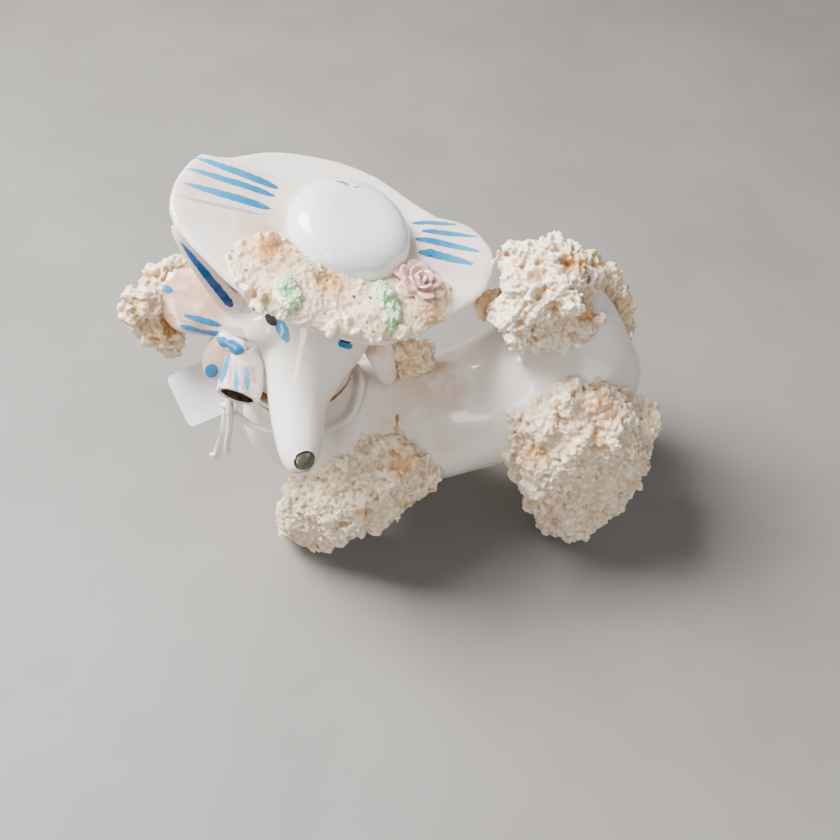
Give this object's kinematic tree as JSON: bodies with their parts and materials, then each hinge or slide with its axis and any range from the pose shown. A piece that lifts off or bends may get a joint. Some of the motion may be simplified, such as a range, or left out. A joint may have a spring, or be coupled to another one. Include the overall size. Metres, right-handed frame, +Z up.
{
  "type": "dog figurine",
  "caption": "Glazed porcelain poodle in a picture hat, with rough clay fur, painted details and a blank card on a string.",
  "frame": {"origin": "middle of the figure's box, on the ground under its feet", "axes": "+Z up, -X towards the dog's chest, -Y towards the side that its face looks to"},
  "size_m": [0.1172, 0.0599, 0.0999],
  "materials": {
    "white_glaze": "gloss",
    "clay_fur": "satin",
    "hat_glaze": "gloss",
    "crown_glaze": "gloss",
    "blue_glaze": "gloss",
    "mint_glaze": "satin",
    "rose_glaze": "gloss",
    "pink_glaze": "gloss",
    "gilt_ribbon": "gloss",
    "card": "matte",
    "cotton": "matte"
  },
  "bodies": {
    "figurine": {"torso": "white_glaze", "neck": "white_glaze", "head": "white_glaze", "tail": "white_glaze", "front_left_leg": "white_glaze", "front_right_leg": "white_glaze", "rear_left_leg": "white_glaze", "rear_right_leg": "white_glaze", "front_left_cuff": "clay_fur", "front_right_cuff": "clay_fur", "rear_left_cuff": "clay_fur", "rear_right_cuff": "clay_fur", "tail_pompom": "clay_fur", "rump_fur": "clay_fur", "side_tuft": "clay_fur", "hat_brim": "hat_glaze", "hat_crown": "crown_glaze", "hat_tie": "blue_glaze", "flower_bed": "clay_fur", "leaf_spray_right": "mint_glaze", "leaf_spray_left": "mint_glaze", "rose": "rose_glaze", "right_ear": "pink_glaze", "left_ear": "pink_glaze", "right_ear_fur": "clay_fur", "left_ear_fur": "clay_fur", "neck_ribbon": "gilt_ribbon", "bow_knot": "blue_glaze", "bow_loop": "pink_glaze", "ribbon_tail": "pink_glaze", "tag_string": "cotton", "string_knot": "cotton", "string_end_knot": "cotton", "string_frayed_end": "cotton"},
    "price_tag_card": {"price_tag": "card"}
  },
  "joints": [
    {"name": "tag_swing", "type": "hinge", "parent": "figurine", "child": "price_tag_card", "pos_m": [-0.0407, -0.00445, 0.05975], "axis": [0.309, -0.6725, -0.6725], "range_deg": [0, 50]}
  ]
}
